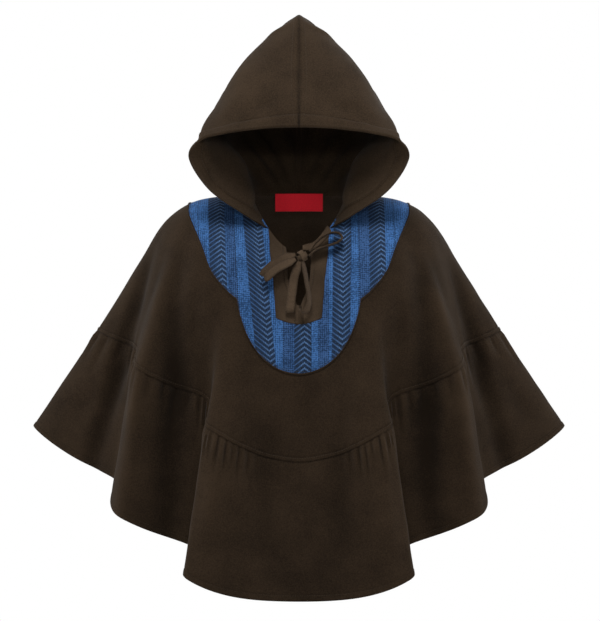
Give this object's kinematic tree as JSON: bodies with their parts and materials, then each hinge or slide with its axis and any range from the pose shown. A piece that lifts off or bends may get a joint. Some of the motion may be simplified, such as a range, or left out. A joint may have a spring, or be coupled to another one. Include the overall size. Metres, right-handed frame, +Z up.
{
  "type": "hooded cape",
  "caption": "Short hooded cape in two tiers with a striped woven yoke, a neck slit and a bow tie at the throat, filled out as if worn.",
  "frame": {"origin": "middle of the wearer's neck, midway between the two shoulders, where the shoulders hold the cape up", "axes": "+Z up, -Y towards the front of the cape, +X towards the right of the picture"},
  "size_m": [0.7994, 0.5102, 0.8512],
  "materials": {
    "brown_cloth": "matt brushed wool-like cloth, dark brown",
    "striped_cloth": "woven blue cloth with dark chevron stripes",
    "red_label": "satin woven, bare"
  },
  "bodies": {
    "root": {"front_upper": "brown_cloth", "back_upper": "brown_cloth", "flounce_front": "brown_cloth", "flounce_back": "brown_cloth", "yoke": "striped_cloth", "yoke_piping": "brown_cloth", "placket_left": "brown_cloth", "placket_right": "brown_cloth", "hood_right": "brown_cloth", "hood_left": "brown_cloth", "neck_label": "red_label", "tie_loop_left": "brown_cloth", "tie_loop_right": "brown_cloth", "tie_tail_left": "brown_cloth", "tie_tail_right": "brown_cloth", "tie_knot": "brown_cloth", "tie_strap": "brown_cloth"}
  },
  "joints": []
}
